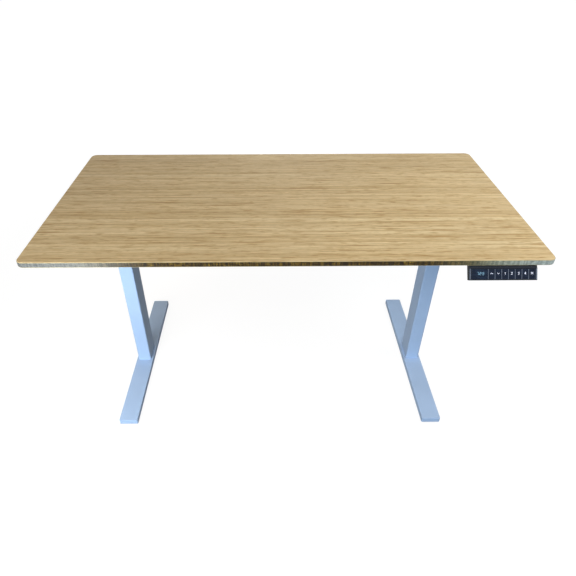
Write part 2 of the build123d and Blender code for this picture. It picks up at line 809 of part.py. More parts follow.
def make_side_bracket(side, x):
    """A channel under the top, tapered towards its ends and notched over the leg head."""
    half = bracket_length / 2
    low = underside - bracket_height
    with BuildPart() as bracket:
        with BuildSketch(Plane.YZ.offset(x - bracket_width / 2)):
            Polygon(
                (frame_y - half, underside),
                (frame_y - half, underside - bracket_tip_height),
                (frame_y - half + bracket_taper, low),
                (frame_y + half - bracket_taper, low),
                (frame_y + half, underside - bracket_tip_height),
                (frame_y + half, underside),
                align=None,
            )
        extrude(amount=bracket_width)
        fillet(bracket.edges().filter_by(Axis.Z), bracket_corner)
        inner_width = bracket_width - 2 * bracket_plate
        inner_length = bracket_length - 2 * bracket_plate
        inner_corner = bracket_corner - bracket_plate
        hollow = bracket_height - bracket_plate
        block(upright(x, frame_y), inner_width, inner_length, low, hollow, inner_corner, Mode.SUBTRACT)
        notch = head_width + 2 * head_notch_gap
        block(upright(x, frame_y), bracket_width, notch, low, hollow, mode=Mode.SUBTRACT)
        for screw_x, screw_y in desktop_screw_places():
            if screw_x == x:
                bar(upright(screw_x, screw_y), bolt_hole_radius, head_top, bracket_plate, Mode.SUBTRACT)
        for place in bracket_bolt_places(x):
            bar(upright(place.X, place.Y), bolt_radius, head_top, bracket_plate, Mode.SUBTRACT)
    save(f"{side}_side_bracket", bracket)


def make_rail(name, sign):
    """A rectangular steel tube between the leg heads, drilled for its bolts."""
    y = frame_y + sign * rail_offset
    middle = Plane(origin=(frame_x, y, rail_middle), x_dir=(0, 1, 0), z_dir=(1, 0, 0))
    with BuildPart() as rail:
        block(middle, rail_width, rail_height, -rail_half_length, 2 * rail_half_length, rail_corner)
        block(
            middle,
            rail_width - 2 * rail_wall,
            rail_height - 2 * rail_wall,
            -rail_half_length,
            2 * rail_half_length,
            rail_corner - rail_wall,
            Mode.SUBTRACT,
        )
        for _, x, inward in legs:
            for reach in rail_bolt_reaches():
                across = Plane(origin=(x + inward * reach, y, rail_middle), x_dir=(1, 0, 0), z_dir=(0, 1, 0))
                bar(across, bolt_hole_radius, -rail_width / 2, rail_width, Mode.SUBTRACT)
    save(name, rail)


def make_frame_bolts():
    """Bolts of the leg heads: up into gearbox and bracket, and through the rails."""
    rail_bolt_length = rail_width + head_wall + rail_bolt_end
    with BuildPart() as bolts:
        for _, x, inward in legs:
            for place in gearbox_bolt_places(x):
                where = upright(place.X, place.Y)
                bar(where, bolt_head_radius, head_bottom - bolt_head_height, bolt_head_height)
                bar(where, bolt_radius - screw_gap, head_bottom, head_wall + screw_bite)
            seat = head_top - head_wall
            for place in bracket_bolt_places(x):
                where = upright(place.X, place.Y)
                bar(where, bolt_head_radius, seat - bolt_head_height, bolt_head_height)
                bar(where, bolt_radius - screw_gap, seat, head_wall + bracket_plate - screw_gap)
            for sign in (-1, 1):
                for reach in rail_bolt_reaches():
                    origin = (x + inward * reach, frame_y + sign * (head_width / 2 + rail_width), rail_middle)
                    into = Plane(origin=origin, x_dir=(1, 0, 0), z_dir=(0, -sign, 0))
                    bar(into, bolt_head_radius, -bolt_head_height, bolt_head_height)
                    bar(into, bolt_radius - screw_gap, 0, rail_bolt_length)
    save("frame_bolts", bolts)


def make_control_box_case():
    """The box under the top: its shell, open below, with an ear at each end and windows for the sockets."""
    bottom = box_top - box_height + box_lid_thickness
    inside = box_height - box_lid_thickness - box_wall
    with BuildPart() as case:
        block(upright(frame_x, box_y), box_length, box_depth, bottom, box_top - bottom, box_corner)
        ears_length = box_length + 2 * box_ear_length
        ear_bottom = box_top - box_ear_thickness
        block(upright(frame_x, box_y), ears_length, box_ear_width, ear_bottom, box_ear_thickness, box_corner)
        block(
            upright(frame_x, box_y),
            box_length - 2 * box_wall,
            box_depth - 2 * box_wall,
            bottom,
            inside,
            box_corner - box_wall,
            Mode.SUBTRACT,
        )
        for x, y in box_screw_places():
            bar(upright(x, y), wood_screw_radius + slide_gap, ear_bottom, box_ear_thickness, Mode.SUBTRACT)
        for x, width, height in sockets:
            window = socket_plane(x)
            block(window, width + 2 * fit_gap, height + 2 * fit_gap, -box_wall, box_wall, mode=Mode.SUBTRACT)
    save("control_box_case", case)


def socket_plane(x):
    """A plane on the back face of the control box, facing away from it."""
    middle = box_top - box_wall - (box_height - box_lid_thickness - box_wall) / 2
    return Plane(origin=(frame_x + x, box_back, middle), x_dir=(-1, 0, 0), z_dir=(0, 1, 0))


def make_control_box_lid():
    bottom = box_top - box_height
    with BuildPart() as lid:
        block(upright(frame_x, box_y), box_length, box_depth, bottom, box_lid_thickness, box_corner)
        fillet(lid.edges().group_by(Axis.Z)[0], box_lid_round)
        rim = box_wall + fit_gap
        lip_length = box_length - 2 * rim
        lip_depth = box_depth - 2 * rim
        lip_bottom = bottom + box_lid_thickness
        block(upright(frame_x, box_y), lip_length, lip_depth, lip_bottom, box_lip_height, box_corner - rim)
        inner_length = lip_length - 2 * box_wall
        inner_depth = lip_depth - 2 * box_wall
        block(upright(frame_x, box_y), inner_length, inner_depth, lip_bottom, box_lip_height, mode=Mode.SUBTRACT)
    save("control_box_lid", lid)


def make_control_box_sockets():
    """The mains inlet, two motor sockets and the handset socket, each a cup open to the back."""
    with BuildPart() as cups:
        for x, width, height in sockets:
            back = socket_plane(x)
            block(back, width, height, socket_proud - socket_depth, socket_depth)
            cup_width = width - 2 * socket_wall
            cup_height = height - 2 * socket_wall
            hole = socket_depth - socket_floor
            block(back, cup_width, cup_height, socket_proud - hole, hole, mode=Mode.SUBTRACT)
    save("control_box_sockets", cups)


def make_handset_shell():
    """A wedge with a flange under the top, and a pocket in its leaning face."""
    rise = handset_face_height / 2
    up = (sin(lean), cos(lean))
    out = (-cos(lean), sin(lean))
    face_top = (face_y + rise * up[0], face_z + rise * up[1])
    face_bottom = (face_y - rise * up[0], face_z - rise * up[1])
    back_bottom = (
        face_bottom[0] - handset_body_depth * out[0],
        face_bottom[1] - handset_body_depth * out[1],
    )
    flange_front = front_edge + handset_stand_out
    flange_bottom = underside - handset_flange_thickness
    with BuildPart() as shell:
        with BuildSketch(Plane.YZ.offset(handset_x - handset_width / 2)):
            Polygon(
                face_top,
                face_bottom,
                back_bottom,
                (flange_front + handset_flange_clear, flange_bottom),
                (handset_back, flange_bottom),
                (handset_back, underside),
                (flange_front, underside),
                align=None,
            )
        extrude(amount=handset_width)
        block(
            face_plane,
            bezel_width + fit_gap,
            bezel_height + fit_gap,
            -bezel_thickness,
            bezel_thickness,
            bezel_corner + fit_gap / 2,
            Mode.SUBTRACT,
        )
        pocket = board_depth + board_thickness
        block(face_plane, pocket_width, pocket_height, -pocket, pocket, mode=Mode.SUBTRACT)
        hole = wood_screw_radius + slide_gap
        for x, y in handset_screw_places():
            bar(upright(x, y), hole, flange_bottom, handset_flange_thickness, Mode.SUBTRACT)
    save("handset_shell", shell)


def key_places():
    """Each key's name and its place along the face."""
    return [(name, first_key_u + i * key_pitch) for i, name in enumerate(key_names)]


def make_handset_bezel():
    """The frame of the face, with a window for the display and one for each key."""
    with BuildPart() as bezel:
        block(face_plane, bezel_width, bezel_height, -bezel_thickness, bezel_thickness, bezel_corner)
        with BuildSketch(face_plane.offset(-bezel_thickness)) as windows:
            with Locations((display_u, 0)):
                RectangleRounded(display_window_width, window_height, key_corner)
            with Locations(*[(u, 0) for _, u in key_places()]):
                RectangleRounded(key_window_width, window_height, key_corner)
        extrude(windows.sketch, amount=bezel_thickness, mode=Mode.SUBTRACT)
    save("handset_bezel", bezel)


def make_display_window():
    width = display_window_width - 2 * fit_gap
    height = window_height - 2 * fit_gap
    where = face_plane.shift_origin(face_plane.from_local_coords((display_u, 0, 0)))
    with BuildPart() as window:
        block(where, width, height, -bezel_thickness, bezel_thickness - display_sink, key_corner)
    save("display_window", window)


def make_handset_board():
    """The circuit board, with the display's block standing on it."""
    block_width = display_window_width - 2 * display_block_margin
    block_height = window_height - 2 * display_block_margin
    where = face_plane.shift_origin(face_plane.from_local_coords((display_u, 0, 0)))
    with BuildPart() as board:
        width = pocket_width - 2 * fit_gap
        height = pocket_height - 2 * fit_gap
        block(face_plane, width, height, -board_depth - board_thickness, board_thickness)
        block(where, block_width, block_height, -board_depth, board_depth - bezel_thickness)
    save("handset_board", board)


def make_key(name, u):
    """A flat cap in its window, with a stem towards the switch on the board."""
    where = face_plane.shift_origin(face_plane.from_local_coords((u, 0, 0)))
    width = key_window_width - 2 * slide_gap
    height = window_height - 2 * slide_gap
    cap_bottom = key_sink + key_cap_thickness
    stem_end = board_depth - key_travel - slide_gap
    with BuildPart() as key:
        block(where, width, height, -cap_bottom, key_cap_thickness, key_corner)
        bar(where, key_stem_radius, -stem_end, stem_end - cap_bottom)
    save(f"key_{name}", key)


os.makedirs("parts", exist_ok=True)
make_desktop()
make_desktop_inserts()
make_desktop_screws()
make_wood_screws()
for side, x, inward in legs:
    make_foot(side, x)
    make_foot_bolts(side, x)
    make_leveller_plates(side, x)
    for end, place_x, place_y in leveller_places(x):
        make_leveller(side, end, place_x, place_y)
    make_base_plate(side, x)
    make_outer_tube(side, x)
    make_column_collar(side, x)
    make_push_tube(side, x)
    make_spindle_nut(side, x)
    make_inner_tube(side, x)
    make_spindle(side, x)
    make_worm_wheel(side, x)
    make_worm_shaft(side, x, inward)
    make_gearbox_case(side, x, inward)
    make_motor(side, x, inward)
    make_leg_head(side, x, inward)
    make_side_bracket(side, x)
make_glide_pads()
make_spindle_bearings()
make_gearbox_covers()
make_frame_bolts()
make_rail("front_rail", -1)
make_rail("back_rail", 1)
make_control_box_case()
make_control_box_lid()
make_control_box_sockets()
make_handset_shell()
make_handset_bezel()
make_display_window()
make_handset_board()
for name, u in key_places():
    make_key(name, u)
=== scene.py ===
"""Looks of a height adjustable standing desk: bamboo top, pale powder-coated frame, handset with lit keys.

Metres, in the frame's own axes: +X along the desk, -Y towards the user, +Z up.
"""

import json
from math import cos, pi, radians, sin

import bpy
import numpy as np
from mathutils import Matrix, Vector

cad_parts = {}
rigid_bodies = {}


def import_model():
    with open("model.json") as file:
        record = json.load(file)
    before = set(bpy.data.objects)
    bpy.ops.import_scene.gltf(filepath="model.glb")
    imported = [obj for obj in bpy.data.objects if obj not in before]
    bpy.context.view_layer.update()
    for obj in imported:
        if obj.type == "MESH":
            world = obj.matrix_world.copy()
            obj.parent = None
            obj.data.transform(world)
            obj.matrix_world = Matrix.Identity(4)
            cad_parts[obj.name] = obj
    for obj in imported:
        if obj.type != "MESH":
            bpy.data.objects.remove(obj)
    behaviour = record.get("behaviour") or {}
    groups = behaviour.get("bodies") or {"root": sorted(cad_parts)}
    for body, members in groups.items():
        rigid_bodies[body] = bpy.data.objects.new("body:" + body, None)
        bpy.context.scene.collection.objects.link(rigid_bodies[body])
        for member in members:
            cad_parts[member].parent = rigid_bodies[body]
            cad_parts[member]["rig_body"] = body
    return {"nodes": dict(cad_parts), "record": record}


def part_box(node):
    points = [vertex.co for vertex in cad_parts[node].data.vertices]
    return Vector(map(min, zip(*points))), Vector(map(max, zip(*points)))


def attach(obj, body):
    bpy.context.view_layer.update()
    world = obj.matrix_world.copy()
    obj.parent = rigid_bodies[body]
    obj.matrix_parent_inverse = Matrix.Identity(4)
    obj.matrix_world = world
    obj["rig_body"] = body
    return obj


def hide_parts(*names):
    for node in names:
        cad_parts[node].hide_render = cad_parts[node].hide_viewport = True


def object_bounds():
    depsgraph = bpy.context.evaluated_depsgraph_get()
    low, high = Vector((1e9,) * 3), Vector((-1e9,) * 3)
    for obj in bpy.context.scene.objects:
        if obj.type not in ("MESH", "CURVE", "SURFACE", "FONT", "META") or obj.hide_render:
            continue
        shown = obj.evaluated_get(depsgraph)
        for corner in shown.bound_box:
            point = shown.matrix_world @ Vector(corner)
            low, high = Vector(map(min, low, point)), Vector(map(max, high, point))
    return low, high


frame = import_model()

cad_low, cad_high = [list(corner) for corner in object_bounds()]
record = frame["record"]

# --- bamboo: width of a strip, length between knuckles, and the pale layers above and below the dark core
STRIP = 0.0205
KNUCKLE_SPACING = 0.26
FACE_LAYER = 0.0019
UNDER_LAYER = 0.0018

# --- levelling feet: height of the moulded pad with its hexagon, and the thread above it
PAD_HEIGHT = 0.0084
FOOT_THREAD_PITCH = 0.00125

# --- the handset's face: its lean, the dark rims above and below, the silver line at each end, partly a painted
# --- highlight of the rounded end, and how far from the end the dark beside that line goes
FACE_TILT = radians(34)
FACE_RIM = 0.002
END_SILVER_AND_HIGHLIGHT = 0.0018
END_DARK = 0.0048

# --- marks: how thick they are, how far the glass and keys lie below the face's plane, how far the marks sit
# --- above its middle, and the strokes and digits
MARK_THICKNESS = 0.00006
GLASS_SINK = 0.0004
KEY_SINK = 0.0002
MARK_LIFT = 0.0022
ICON_STROKE = 0.00095
DIGIT_HEIGHT = 0.0072
DIGIT_WIDTH = 0.0046
DIGIT_GAP = 0.0024
DIGIT_STROKE = 0.0008
DIGIT_SLANT = 0.2
POINT_WIDTH = 0.0013
DIGITS_TO_RIGHT = 0.0035

# --- fasteners: points round an axis, rings on a dome, rings in a turn of thread, and pitches
ROUND = 24
HEAD_STEPS = 6
TURN_STEPS = 4
BOLT_PITCH = 0.001
WOOD_SCREW_PITCH = 0.0016

# --- sockets: depth of a socket's hole, how far a contact's foot sinks into its floor, and a contact's length
SOCKET_HOLE = 0.012
CONTACT_SINK = 0.0002
CONTACT_LENGTH = 0.009

# --- floor: how bright it looks near the desk and far from it, from where to where that changes, its half
# --- width, how far it lies below the feet, and its grey for the light that it scatters
FLOOR_NEAR = 0.9
FLOOR_FAR = 1.0
FLOOR_NEAR_REACH = 0.8
FLOOR_FAR_REACH = 3.5
FLOOR_HALF = 60.0
FLOOR_DROP = 0.0005
FLOOR_GREY = 0.15

# --- world and floor: the world's light on the desk, the floor's own, and what a camera or a mirror sees
FILL = (0.06, 0.055, 0.05)
BLACK = (0.0, 0.0, 0.0)
WHITE = (1.0, 1.0, 1.0)


def srgb(red, green, blue):
    """A display colour from 0 to 255 as linear light: c/12.92 if dark, else ((c + 0.055) / 1.055) ** 2.4."""
    shares = np.array([red, green, blue]) / 255
    linear = np.where(shares <= 0.04045, shares / 12.92, ((shares + 0.055) / 1.055) ** 2.4)
    return (*[float(value) for value in linear], 1.0)


# --- building blocks of the materials

class Finish:
    """A material whose nodes are wired up by short calls, ending in one Principled shader."""

    def __init__(self, name, roughness=0.5, metallic=0.0, **sockets):
        self.material = bpy.data.materials.new(name)
        self.material.use_nodes = True
        self.tree = self.material.node_tree
        self.tree.nodes.clear()
        self.output = self.tree.nodes.new("ShaderNodeOutputMaterial")
        self.shader = self.node("ShaderNodeBsdfPrincipled", {}, Roughness=roughness, Metallic=metallic)
        for socket, value in sockets.items():
            self.shader.inputs[socket.replace("_", " ")].default_value = value
        self.tree.links.new(self.shader.outputs[0], self.output.inputs["Surface"])
        coordinates = self.node("ShaderNodeTexCoord")
        self.place = coordinates.outputs["Object"]
        self.normal = coordinates.outputs["Normal"]

    def fill(self, socket, value):
        """Links an output into a socket, or sets the socket's own value."""
        if isinstance(value, bpy.types.NodeSocket):
            self.tree.links.new(value, socket)
        else:
            socket.default_value = value

    def node(self, kind, settings=None, *values, **named):
        """Adds a node: its settings, then its sockets' values, first in their order and then by name."""
        made = self.tree.nodes.new(kind)
        for key, value in (settings or {}).items():
            setattr(made, key, value)
        for socket, value in zip(made.inputs, values):
            self.fill(socket, value)
        for key, value in named.items():
            self.fill(made.inputs[key.replace("_", " ")], value)
        return made

    def math(self, operation, *values):
        """One step of arithmetic on numbers or outputs."""
        return self.node("ShaderNodeMath", {"operation": operation}, *values).outputs[0]

    def times(self, first, second):
        return self.math("MULTIPLY", first, second)

    def plus(self, first, second):
        return self.math("ADD", first, second)

    def minus(self, first, second):
        return self.math("SUBTRACT", first, second)

    def away(self, value, middle=0.0):
        """How far a value is from a middle, either way."""
        if middle:
            value = self.minus(value, middle)
        return self.math("ABSOLUTE", value)

    def split(self, vector):
        """The X, Y and Z of a vector."""
        return self.node("ShaderNodeSeparateXYZ", {}, vector).outputs

    def join(self, x, y, z):
        return self.node("ShaderNodeCombineXYZ", {}, x, y, z).outputs[0]

    def stretch(self, x, y, z):
        """The place on the piece with each axis multiplied by its own factor."""
        return self.node("ShaderNodeVectorMath", {"operation": "MULTIPLY"}, self.place, (x, y, z)).outputs[0]

    def noise(self, vector, scale, detail=3.0, roughness=0.55):
        """Cloudy noise from 0 to 1 over a vector."""
        settings = {"Vector": vector, "Scale": scale, "Detail": detail, "Roughness": roughness}
        return self.node("ShaderNodeTexNoise", {}, **settings).outputs["Fac"]

    def dice(self, *values):
        """A random number from 0 to 1 that depends only on the values."""
        vector = self.join(*(list(values) + [0.0, 0.0])[:3])
        return self.node("ShaderNodeTexWhiteNoise", {"noise_dimensions": "3D"}, vector).outputs["Value"]

    def ramp(self, value, low, high, to_low=0.0, to_high=1.0):
        """Maps low..high smoothly to to_low..to_high and holds the ends."""
        settings = {"interpolation_type": "SMOOTHSTEP"}
        made = self.node("ShaderNodeMapRange", settings, value, low, high, to_low, to_high)
        return made.outputs[0]

    def colours(self, value, stops):
        """A colour ramp through (position, colour) stops."""
        made = self.node("ShaderNodeValToRGB", {}, value)
        elements = made.color_ramp.elements
        while len(elements) < len(stops):
            elements.new(1.0)
        for element, (position, colour) in zip(elements, stops):
            element.position = position
            element.color = colour
        return made.outputs["Color"]

    def mix(self, share, first, second, blend="MIX"):
        """A colour that goes from the first to the second as the share goes from 0 to 1."""
        made = self.node("ShaderNodeMix", {"data_type": "RGBA", "blend_type": blend})
        self.fill(made.inputs["Factor"], share)
        self.fill(made.inputs[6], first)
        self.fill(made.inputs[7], second)
        return made.outputs[2]

    def tone(self, colour, factor):
        """A colour multiplied by a number."""
        grey = self.node("ShaderNodeCombineColor", {}, factor, factor, factor).outputs[0]
        return self.mix(1.0, colour, grey, "MULTIPLY")

    def paint(self, colour):
        self.fill(self.shader.inputs["Base Color"], colour)

    def relief(self, height, depth, strength=1.0):
        """Bump of a height from 0 to 1, whose full step is depth metres."""
        bump = self.node("ShaderNodeBump", {}, Height=height, Distance=depth, Strength=strength)
        self.tree.links.new(bump.outputs[0], self.shader.inputs["Normal"])


# --- the finishes

def bamboo():
    """Laminated bamboo: strips along X with glue lines, knuckles and fibres, and a dark core at the edges."""
    f = Finish("bamboo", Coat_Weight=0.04, Coat_Roughness=0.3, Specular_IOR_Level=0.16)
    x, y, z = f.split(f.place)
    wave = f.noise(f.stretch(1.6, 9.0, 9.0), 1.0, 2.0)
    row = f.math("DIVIDE", f.plus(y, f.times(wave, 0.004)), STRIP)
    strip = f.math("FLOOR", row)
    across = f.minus(f.math("FRACT", row), 0.5)
    lot = f.dice(strip)
    # knuckles: one in each stretch of each strip, at its own place
    stretch = f.plus(f.math("DIVIDE", x, KNUCKLE_SPACING), f.times(lot, 17.0))
    cell = f.math("FLOOR", stretch)
    spot = f.dice(strip, cell)
    centre = f.plus(f.times(spot, 0.7), 0.15)
    along = f.away(f.minus(f.math("FRACT", stretch), centre))
    size = f.dice(cell, strip)
    reach = f.plus(f.times(size, 0.05), 0.02)
    near = f.ramp(f.math("DIVIDE", along, reach), 0.1, 1.0, 1.0, 0.0)
    side = f.minus(across, f.times(f.minus(spot, 0.5), 0.5))
    thin = f.ramp(f.away(side), 0.03, 0.3, 1.0, 0.0)
    knuckle = f.times(f.times(near, thin), f.plus(f.times(size, 0.6), 0.4))
    # a glue line between two strips is as dark as its lot says, with a paler line beside it
    border = f.ramp(f.away(across), 0.42, 0.5)
    beside = f.times(f.ramp(across, 0.26, 0.36), f.ramp(across, 0.38, 0.44, 1.0, 0.0))
    pair = f.math("FLOOR", f.plus(row, 0.5))
    strength = f.math("POWER", f.dice(pair, 7.0), 1.6)
    drift = f.noise(f.join(f.times(x, 2.2), f.times(pair, 5.0), 0.0), 1.0, 2.0)
    fade = f.ramp(drift, 0.3, 0.6)
    line = f.times(border, f.times(f.plus(strength, 0.12), f.plus(f.times(fade, 0.6), 0.4)))
    # dashes and fibres: noise drawn out along X, long and coarse to short and fine
    dash = f.ramp(f.noise(f.stretch(26.0, 300.0, 300.0), 1.0, 2.0), 0.57, 0.7)
    run = f.ramp(f.noise(f.stretch(14.0, 130.0, 130.0), 1.0, 2.0), 0.55, 0.7)
    thread = f.ramp(f.noise(f.stretch(3.5, 200.0, 200.0), 1.0, 2.0), 0.58, 0.66)
    streak = f.noise(f.stretch(1.5, 130.0, 130.0), 1.0, 3.0)
    coarse = f.noise(f.stretch(4.0, 260.0, 260.0), 1.0, 3.0)
    fine = f.noise(f.stretch(10.0, 900.0, 900.0), 1.0, 2.0)
    cloud = f.noise(f.stretch(2.0, 4.0, 4.0), 1.0, 2.0)
    mottle = f.noise(f.stretch(45.0, 120.0, 120.0), 1.0, 2.0)
    light = srgb(226, 205, 160)
    middle = srgb(208, 182, 136)
    deep = srgb(170, 140, 89)
    mark = srgb(144, 101, 22)
    shade = f.plus(f.times(lot, 0.3), f.times(streak, 0.7))
    body = f.colours(shade, [(0.08, deep), (0.5, middle), (0.92, light)])
    body = f.tone(body, f.ramp(coarse, 0.25, 0.75, 0.93, 1.06))
    body = f.tone(body, f.ramp(mottle, 0.3, 0.7, 0.95, 1.05))
    body = f.tone(body, f.plus(f.times(fine, 0.12), 0.94))
    body = f.tone(body, f.ramp(cloud, 0.3, 0.7, 0.965, 1.03))
    body = f.mix(f.times(beside, 0.3), body, light)
    for dark, strongest in ((dash, 0.5), (run, 0.44), (thread, 0.58), (line, 0.9), (knuckle, 0.4)):
        body = f.mix(f.times(dark, strongest), body, mark)
    # the edges: a pale layer above and a thin one below a core of dark strands
    up = f.split(f.normal)[2]
    edge = f.ramp(f.away(up), 0.5, 0.93, 1.0, 0.0)
    top, bottom = float(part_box("desktop")[1][2]), float(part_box("desktop")[0][2])
    above = f.ramp(f.minus(top, z), FACE_LAYER * 0.8, FACE_LAYER * 1.15)
    below = f.ramp(f.minus(z, bottom), UNDER_LAYER * 0.7, UNDER_LAYER * 1.2)
    core = f.times(edge, f.times(above, below))
    strand = f.noise(f.stretch(70.0, 70.0, 420.0), 1.0, 4.0, 0.65)
    patch = f.noise(f.stretch(48.0, 48.0, 60.0), 1.0, 3.0, 0.6)
    bars = f.noise(f.stretch(240.0, 240.0, 25.0), 1.0, 2.0)
    strands = f.colours(strand, [
        (0.3, srgb(36, 22, 2)),
        (0.5, srgb(64, 46, 8)),
        (0.66, srgb(100, 81, 26)),
        (0.85, srgb(158, 136, 60)),
    ])
    strands = f.tone(strands, f.ramp(patch, 0.36, 0.66, 0.7, 1.25))
    strands = f.tone(strands, f.ramp(bars, 0.4, 0.62, 0.4, 1.6))
    # painted shade: the core is darker towards the left end, where the lamps fall strongest on it, and in the
    # front edge a painted reflection makes it greyer towards both ends
    share = f.plus(f.math("DIVIDE", x, float(cad_high[0]) * 2), 0.5)
    strands = f.tone(strands, f.ramp(share, 0.2, 0.33, 0.55, 1.0))
    # painted reflection: how much grey, the pale surroundings mirrored in the lacquer, lies towards both ends
    # of the front edge
    painted_reflection_share = f.plus(f.ramp(share, 0.12, 0.25, 0.75, 0.0), f.ramp(share, 0.74, 0.94, 0.0, 0.82))
    front = f.ramp(f.times(f.split(f.normal)[1], -1.0), 0.3, 0.8)
    grey = f.colours(share, [
        (0.0, srgb(104, 106, 104)),
        (0.1, srgb(112, 114, 110)),
        (0.22, srgb(104, 98, 82)),
        (0.84, srgb(124, 124, 98)),
        (0.9, srgb(168, 174, 154)),
        (1.0, srgb(180, 190, 184)),
    ])
    bar_tone = f.ramp(bars, 0.3, 0.7, 0.7, 1.2)
    grey = f.tone(grey, f.times(bar_tone, f.ramp(strand, 0.35, 0.65, 0.7, 1.2)))
    # the front edge takes the painted reflection's grey
    strands = f.mix(f.times(painted_reflection_share, front), strands, grey)
    pale = f.mix(edge, body, srgb(160, 146, 108))
    f.paint(f.mix(core, pale, strands))
    # the underside has no lacquer, so it is duller
    raw = f.ramp(up, -0.95, -0.5, 0.45, 0.0)
    f.fill(f.shader.inputs["Roughness"], f.plus(f.ramp(coarse, 0.3, 0.7, 0.38, 0.5), raw))
    height = f.minus(f.times(fine, 0.5), f.times(line, 0.5))
    f.relief(height, 0.00025, 0.5)
    return f.material


def powder_coat(name, colour, peel=0.00004):
    """Powder coat: paint with a fine orange peel, small flecks and soft cloudy changes of tone."""
    f = Finish(name, roughness=0.5, Specular_IOR_Level=0.06)
    grain = f.noise(f.place, 1500.0, 2.0)
    speck = f.noise(f.place, 4200.0, 1.0)
    cloud = f.noise(f.place, 6.0, 2.0)
    body = f.tone(colour, f.ramp(cloud, 0.3, 0.7, 0.965, 1.03))
    body = f.tone(body, f.ramp(speck, 0.3, 0.75, 0.96, 1.06))
    f.paint(body)
    f.fill(f.shader.inputs["Roughness"], f.ramp(grain, 0.3, 0.7, 0.44, 0.56))
    f.relief(grain, peel, 0.6)
    return f.material


def zinc(name, colour):
    """Zinc-plated or ground steel: fine scratches along one direction and faint mottling."""
    f = Finish(name, roughness=0.34, metallic=0.9)
    scratch = f.noise(f.stretch(2600.0, 2600.0, 160.0), 1.0, 2.0)
    mottle = f.noise(f.place, 160.0, 3.0)
    f.paint(f.tone(colour, f.ramp(mottle, 0.3, 0.7, 0.86, 1.08)))
    f.fill(f.shader.inputs["Roughness"], f.ramp(scratch, 0.3, 0.7, 0.26, 0.44))
    f.relief(scratch, 0.00003, 0.5)
    return f.material


def moulded(name, colour, grain=900.0, depth=0.00006, roughness=0.55, specular=0.4):
    """Moulded plastic: a fine leathery grain and slight changes of gloss."""
    f = Finish(name, roughness=roughness, Specular_IOR_Level=specular)
    spark = f.noise(f.place, grain, 3.0)
    cloud = f.noise(f.place, 14.0, 2.0)
    f.paint(f.tone(colour, f.ramp(cloud, 0.3, 0.7, 0.88, 1.1)))
    f.fill(f.shader.inputs["Roughness"], f.ramp(spark, 0.3, 0.7, roughness - 0.07, roughness + 0.07))
    f.relief(spark, depth, 0.7)
    return f.material


def cast(name, colour):
    """Sand-cast alloy: pebbled skin with painted shade in its pits."""
    f = Finish(name, roughness=0.5, metallic=0.75)
    pebble = f.noise(f.place, 420.0, 4.0, 0.65)
    # painted shade: darker where the pebbled bump is low, in the pits
    f.paint(f.tone(colour, f.ramp(pebble, 0.3, 0.65, 0.72, 1.05)))
    f.relief(pebble, 0.0002, 0.7)
    return f.material


def turned(name, colour):
    """Turned brass: rings round the upright axis from the lathe tool."""
    f = Finish(name, roughness=0.3, metallic=1.0)
    ring = f.noise(f.stretch(20.0, 20.0, 1900.0), 1.0, 2.0)
    f.paint(f.tone(colour, f.ramp(ring, 0.3, 0.7, 0.9, 1.06)))
    f.relief(ring, 0.00004, 0.6)
    return f.material


def circuit_board():
    """Solder mask with a maze of slightly raised copper runs."""
    f = Finish("board_green", roughness=0.35, Coat_Weight=0.4, Coat_Roughness=0.2)
    runs = f.node("ShaderNodeTexVoronoi", {"distance": "CHEBYCHEV"}, Vector=f.place, Scale=260.0)
    trace = f.ramp(runs.outputs["Distance"], 0.32, 0.38)
    f.paint(f.mix(trace, srgb(20, 82, 42), srgb(34, 112, 58)))
    f.relief(trace, 0.00004, 0.6)
    return f.material


def levelling_foot():
    """Black moulded pad below, zinc-plated thread above it: rings a thread's pitch apart."""
    f = Finish("black_plastic", roughness=0.5)
    z = f.split(f.place)[2]
    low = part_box("left_front_leveller")[0]
    steel = f.ramp(z, low[2] + PAD_HEIGHT, low[2] + PAD_HEIGHT + 0.0004)
    turn = f.math("PINGPONG", f.times(z, 1 / FOOT_THREAD_PITCH), 0.5)
    grain = f.noise(f.place, 900.0, 3.0)
    plastic = f.tone(srgb(30, 31, 33), f.ramp(grain, 0.3, 0.7, 0.8, 1.2))
    # painted shade: the thread is darker in its grooves, where its bump is low
    metal = f.tone(srgb(165, 166, 170), f.ramp(turn, 0.1, 0.45, 0.6, 1.1))
    f.paint(f.mix(steel, plastic, metal))
    f.fill(f.shader.inputs["Metallic"], f.times(steel, 0.9))
    f.fill(f.shader.inputs["Roughness"], f.ramp(grain, 0.3, 0.7, 0.36, 0.5))
    f.relief(f.plus(f.times(turn, steel), f.times(grain, 0.15)), 0.0005, 0.7)
    return f.material


# --- the handset's leaning face

bezel_low, bezel_high = [np.array(corner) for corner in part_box("handset_bezel")]
bezel_size = bezel_high - bezel_low
# a plate of height h and thickness t leaning by a fills h*sin(a) + t*cos(a) of Y and h*cos(a) + t*sin(a) of Z
FACE_HEIGHT = (bezel_size[2] * cos(FACE_TILT) - bezel_size[1] * sin(FACE_TILT)) / cos(2 * FACE_TILT)
FACE_UP = np.array([0.0, sin(FACE_TILT), cos(FACE_TILT)])
FACE_OUT = np.array([0.0, -cos(FACE_TILT), sin(FACE_TILT)])
FACE_MIDDLE = np.array([
    (bezel_low[0] + bezel_high[0]) / 2,
    bezel_low[1] + FACE_HEIGHT / 2 * sin(FACE_TILT),
    bezel_high[2] - FACE_HEIGHT / 2 * cos(FACE_TILT),
])


